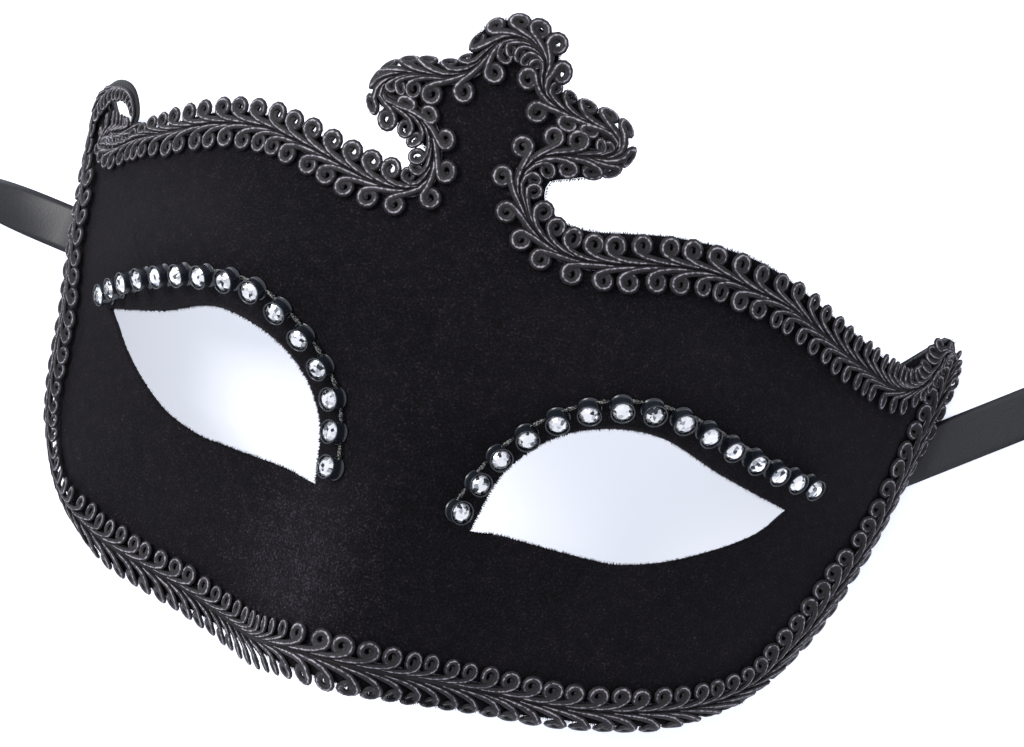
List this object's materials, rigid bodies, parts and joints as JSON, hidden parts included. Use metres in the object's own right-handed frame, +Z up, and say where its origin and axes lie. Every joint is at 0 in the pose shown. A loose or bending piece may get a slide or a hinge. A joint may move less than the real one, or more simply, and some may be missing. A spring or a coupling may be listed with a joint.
{
  "type": "masquerade eye mask",
  "caption": "Half mask covered in dark velvet with a looped gimp braid border, a row of stones over each eye and a tie ribbon at each side, lying on its side edges.",
  "frame": {"origin": "on the table, under the middle of the mask without its ribbons", "axes": "+X to the right as seen from the front, +Y towards the crown, +Z up out of the front of the lying mask"},
  "size_m": [0.361, 0.1282, 0.0727],
  "materials": {
    "velvet": "short-pile velvet, near black with a slight purple-brown tint",
    "gimp_cord": "looped charcoal gimp cord with a soft sheen",
    "cup_plastic": "glossy black",
    "stone_silver": "faceted silver stone with a foiled back",
    "satin_ribbon": "black satin"
  },
  "bodies": {
    "root": {"mask_shell": "velvet", "gimp_braid": "gimp_cord", "stone_strip_left": "cup_plastic", "stone_strip_right": "cup_plastic", "ribbon_left": "satin_ribbon", "ribbon_coil_left": "satin_ribbon", "ribbon_right": "satin_ribbon", "ribbon_coil_right": "satin_ribbon", "stone_left_01": "stone_silver", "stone_left_02": "stone_silver", "stone_left_03": "stone_silver", "stone_left_04": "stone_silver", "stone_left_05": "stone_silver", "stone_left_06": "stone_silver", "stone_left_07": "stone_silver", "stone_left_08": "stone_silver", "stone_left_09": "stone_silver", "stone_left_10": "stone_silver", "stone_left_11": "stone_silver", "stone_left_12": "stone_silver", "stone_left_13": "stone_silver", "stone_left_14": "stone_silver", "stone_left_15": "stone_silver", "stone_right_01": "stone_silver", "stone_right_02": "stone_silver", "stone_right_03": "stone_silver", "stone_right_04": "stone_silver", "stone_right_05": "stone_silver", "stone_right_06": "stone_silver", "stone_right_07": "stone_silver", "stone_right_08": "stone_silver", "stone_right_09": "stone_silver", "stone_right_10": "stone_silver", "stone_right_11": "stone_silver", "stone_right_12": "stone_silver", "stone_right_13": "stone_silver", "stone_right_14": "stone_silver", "stone_right_15": "stone_silver"}
  },
  "joints": []
}
